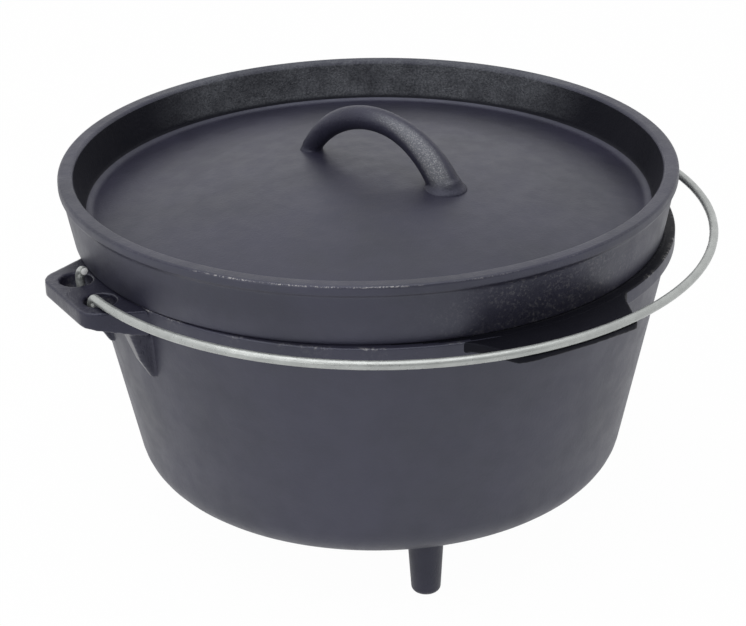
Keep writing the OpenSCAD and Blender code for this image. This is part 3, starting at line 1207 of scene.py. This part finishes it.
@dataclass
class WireBail:
    """The bail: one length of wire, a bow with a hook at each end."""

    finish: ZincFinish
    cut_glint_finish: ZincFinish
    wire_d: float = 4.5
    hinge_z: float = 157.910638
    arm_z: float = 8.039362
    bow_r: float = 166.457
    bow_y: float = -9.5
    hook_x: float = 166.24
    hook_r: float = 12.0
    bend_r: float = 6.0
    hook_lean: float = 5.8
    hook_open: float = 1.2
    hook_flat: float = 1.2
    tail_y: float = 14.3
    tail_z: float = 5.6

    def tail_path(self) -> list[Vector]:
        """Gives the wire's middle line from its cut end down through the rear hole to the hinge.

        Returns:
            Points in millimetres from the hinge line.
        """
        x = self.hook_x - self.hook_lean
        path: list[Vector] = []
        for k in range(13):
            a = math.radians(90 - 90 * k / 12)
            path.append(Vector((x, self.tail_y - self.bend_r + self.bend_r * math.cos(a),
                                self.tail_z + self.bend_r * math.sin(a))))
        low_y = self.hook_r + self.hook_open
        for k in range(1, 9):
            z = self.tail_z * (1 - k / 8)
            path.append(Vector((x, low_y + (self.tail_y - low_y) * smoothstep(0, self.tail_z, z), z)))
        return path

    def half_path(self) -> list[Vector]:
        """Gives the wire's middle line from the cut end of the right hook to the front of the bow.

        Returns:
            Points in millimetres.
        """
        path = self.tail_path()
        bend_end = self.hook_r + self.bend_r
        for k in range(1, 33):
            share = 1 - k / 32
            a = math.radians(-180 * share)
            x = self.hook_x - self.hook_lean * smoothstep(0.45, 1.0, share)
            r = self.hook_r + self.hook_open * smoothstep(0.6, 1.0, share)
            r -= self.hook_flat * bump_at(0.5, 0.35, share)
            path.append(Vector((x, -r * math.cos(a), r * math.sin(a))))
        for k in range(13):
            a = math.radians(180 - 90 * k / 12)
            path.append(Vector((self.hook_x, -(bend_end + self.bend_r * math.cos(a)),
                                self.arm_z - self.bend_r + self.bend_r * math.sin(a))))
        start = math.asin((bend_end + self.bow_y) / self.bow_r)
        for k in range(1, 65):
            a = start + (math.pi / 2 - start) * k / 64
            path.append(Vector((self.bow_r * math.cos(a), self.bow_y - self.bow_r * math.sin(a),
                                self.arm_z)))
        return [p + Vector((0, 0, self.hinge_z)) for p in path]

    def build(self) -> None:
        """Draws the wire along its path, trims its ends and dresses it."""
        right = self.half_path()
        left = [Vector((-p.x, p.y, p.z)) for p in reversed(right[:-1])]
        path = right + left
        piece = Bench.rod("bail_wire", path, self.wire_d, detail=6, swell=[1.0] * len(path))
        bpy.ops.object.mode_set(mode="EDIT")
        Bench.tidy_edit()
        self.trim_ends(piece)
        Bench.shade(piece, TURNED_ANGLE)
        Bench.settle(piece, "bail", "wire", self.finish.make(),
                     ["bail", "arm_left", "arm_right", "hook_left", "hook_right"])
        self.dress_ends(piece)

    def trim_ends(self, piece: Piece) -> None:
        """Makes each cut end one face out of its triangles, and breaks its sharp edge.

        Args:
            piece: The wire.
        """
        Bench.pick(piece)
        bpy.ops.object.mode_set(mode="EDIT")
        bpy.ops.mesh.select_mode(type="FACE")
        bpy.ops.mesh.select_all(action="DESELECT")
        bpy.ops.object.mode_set(mode="OBJECT")
        for face in piece.data.polygons:
            face.select = len(face.vertices) == 3
        bpy.ops.object.mode_set(mode="EDIT")
        bpy.ops.mesh.dissolve_faces()
        bpy.ops.mesh.inset(thickness=0.45 * MM, depth=0.28 * MM)
        bpy.ops.object.mode_set(mode="OBJECT")

    def dress_ends(self, piece: Piece) -> None:
        """Gives the two cut ends their own near-white finish: pale cut steel with a painted glint.

        Args:
            piece: The dressed wire.
        """
        piece.data.materials.append(self.cut_glint_finish.make())
        for face in piece.data.polygons:
            face.material_index = 1 if len(face.vertices) > 6 else 0


@dataclass
class Studio:
    """A white table under soft light, and the camera at the photograph's view."""

    eye: Triple = (-0.5540, -0.9509, 0.6291)
    aim: Triple = (-0.0012, 0.0036, 0.1083)
    lens: float = 111.6
    roll: float = -1.106
    table: float = 9.0
    camera_side: Triple = (-0.503, -0.864, 0.0)

    def build(self) -> None:
        """Sets up the table, the room, the lamps, the camera and the colours."""
        self.lay_table()
        self.paint_room()
        self.hang_lamp("top_box", (-0.25, -0.15, 1.5), (0, 0, 0.1), 1.6, 13.0)
        self.hang_lamp("left_box", (-1.6, -0.7, 0.9), (0, 0, 0.12), 1.2, 7.0)
        self.aim_camera()
        bpy.context.scene.view_settings.view_transform = "Standard"

    def seen(self, tree: bpy.types.NodeTree) -> Socket:
        """Finds the rays that see the white room as it is.

        Args:
            tree: Node tree to work in.

        Returns:
            1 for rays from the camera, a mirror or glass, and 0 for the others.
        """
        path = tree.nodes.new("ShaderNodeLightPath")
        total = path.outputs["Is Camera Ray"]
        for name in ("Is Glossy Ray", "Is Transmission Ray"):
            most = tree.nodes.new("ShaderNodeMath")
            most.operation = "MAXIMUM"
            tree.links.new(total, most.inputs[0])
            tree.links.new(path.outputs[name], most.inputs[1])
            total = most.outputs[0]
        return total

    def lay_table(self) -> None:
        """Lays a white table that keeps a soft shadow."""
        Bench.clear()
        bpy.ops.mesh.primitive_plane_add(size=self.table, location=(0, 0, -0.0002))
        top = bpy.context.object
        top.name = "table"
        bpy.ops.object.transform_apply(location=True, rotation=False, scale=False)
        n = Nodes("table_white")
        n.surface.inputs["Base Color"].default_value = (0.94, 0.94, 0.94, 1)
        n.surface.inputs["Roughness"].default_value = 0.9
        n.surface.inputs["Specular IOR Level"].default_value = 0.1
        glow = n.add("ShaderNodeEmission")
        mix = n.add("ShaderNodeMixShader")
        n.link(n.math("MULTIPLY", self.seen(n.tree), 0.98), mix.inputs["Fac"])
        n.link(n.surface.outputs["BSDF"], mix.inputs[1])
        n.link(glow.outputs["Emission"], mix.inputs[2])
        n.link(mix.outputs["Shader"], n.output.inputs["Surface"])
        top.data.materials.append(n.material)

    def paint_room(self) -> None:
        """Makes the room white in reflections, dimmer behind the camera, and a plain level elsewhere."""
        world = bpy.data.worlds.new("white_room")
        bpy.context.scene.world = world
        world.use_nodes = True
        tree = world.node_tree
        back = tree.nodes["Background"]
        back.inputs["Color"].default_value = (1, 1, 1, 1)
        place = tree.nodes.new("ShaderNodeTexCoord")
        facing = tree.nodes.new("ShaderNodeVectorMath")
        facing.operation = "DOT_PRODUCT"
        facing.inputs[1].default_value = self.camera_side
        tree.links.new(place.outputs["Generated"], facing.inputs[0])
        dim = tree.nodes.new("ShaderNodeMapRange")
        dim.interpolation_type = "SMOOTHSTEP"
        for key, value in (("From Min", 0.35), ("From Max", 0.85), ("To Min", 1.0), ("To Max", 0.3)):
            dim.inputs[key].default_value = value
        tree.links.new(facing.outputs["Value"], dim.inputs["Value"])
        level = tree.nodes.new("ShaderNodeMapRange")
        level.inputs["To Min"].default_value = 0.5
        tree.links.new(self.seen(tree), level.inputs["Value"])
        tree.links.new(dim.outputs["Result"], level.inputs["To Max"])
        tree.links.new(level.outputs["Result"], back.inputs["Strength"])

    def hang_lamp(self, name: str, at: Triple, aim: Triple, size: float, power: float) -> None:
        """Hangs a square soft lamp.

        Args:
            name: Name of the lamp.
            at: Its place in metres.
            aim: Where it points.
            size: Length of its side.
            power: Power in watts.
        """
        Bench.clear()
        bpy.ops.object.light_add(type="AREA", location=at)
        lamp = bpy.context.object
        lamp.name = name
        lamp.data.shape = "SQUARE"
        lamp.data.size = size
        lamp.data.energy = power
        lamp.rotation_euler = (Vector(aim) - Vector(at)).to_track_quat("-Z", "Y").to_euler()

    def aim_camera(self) -> None:
        """Places the camera at the photograph's view, with its slight roll."""
        camera = bpy.data.cameras.new("photo_view")
        camera.lens = self.lens
        camera.sensor_width = 36.0
        camera.sensor_fit = "HORIZONTAL"
        camera.clip_end = 50.0
        holder = bpy.data.objects.new("photo_view", camera)
        bpy.context.scene.collection.objects.link(holder)
        eye = Vector(self.eye)
        ahead = (Vector(self.aim) - eye).normalized()
        level = ahead.cross(Vector((0, 0, 1))).normalized()
        up = level.cross(ahead)
        tilt = math.radians(self.roll)
        right = level * math.cos(tilt) + up * math.sin(tilt)
        top = up * math.cos(tilt) - level * math.sin(tilt)
        turn = Matrix((right, top, -ahead)).transposed()
        holder.matrix_world = Matrix.Translation(eye) @ turn.to_4x4()
        bpy.context.scene.camera = holder


def main() -> None:
    """Builds the oven and its studio in order."""
    logging.basicConfig(level=logging.INFO, format="%(message)s")
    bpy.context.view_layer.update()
    # Painted shade: near-black tones for the ring's top under the lid, the bail rest and the rim's inner
    # wall.
    painted_shade_dark, painted_shade_light = (0.005, 0.005, 0.008), (0.009, 0.009, 0.013)
    PotCasting(IronFinish("pot_iron"), IronFinish("rest_painted_shade_iron", painted_shade_dark, painted_shade_light, specular=0.1),
               IronFinish("leg_iron", specular=0.5),
               IronFinish("ear_iron", gloss_low=0.28, gloss_high=0.36, specular=0.45,
                          grain=0.00004)).build()
    # The lid's pale colour also paints the glints along the rim's edge.
    LidCasting(IronFinish("lid_iron", gloss_low=0.37, gloss_high=0.45, specular=0.54, wave=0.00010,
                          fleck_scale=900.0, dash=(0.34, 0.52)),
               IronFinish("rim_inside_painted_shade", painted_shade_dark, painted_shade_light, specular=0.1),
               # The loop's pale colour paints a speckled highlight along its front half.
               IronFinish("loop_iron", bare_and_glint=(0.38, 0.39, 0.40), specular=0.45, grain=0.0002,
                          fleck_scale=1700.0, fleck=(0.5, 0.68), fleck_least=0.24, dash=(0.0, 0.2)),
               IronFinish("lid_wall_iron", specular=0.84, wave=0.00015, fleck_scale=560.0,
                          fleck=(0.5, 0.66), dash=(0.34, 0.52))).build()
    WireBail(ZincFinish("galvanised_wire"),
             # Near-white cut ends: pale cut steel with a painted glint.
             ZincFinish("cut_wire_glint", (0.95, 0.95, 0.94), (0.88, 0.885, 0.88), 0.0)).build()
    Studio().build()


if __name__ == "__main__":
    main()
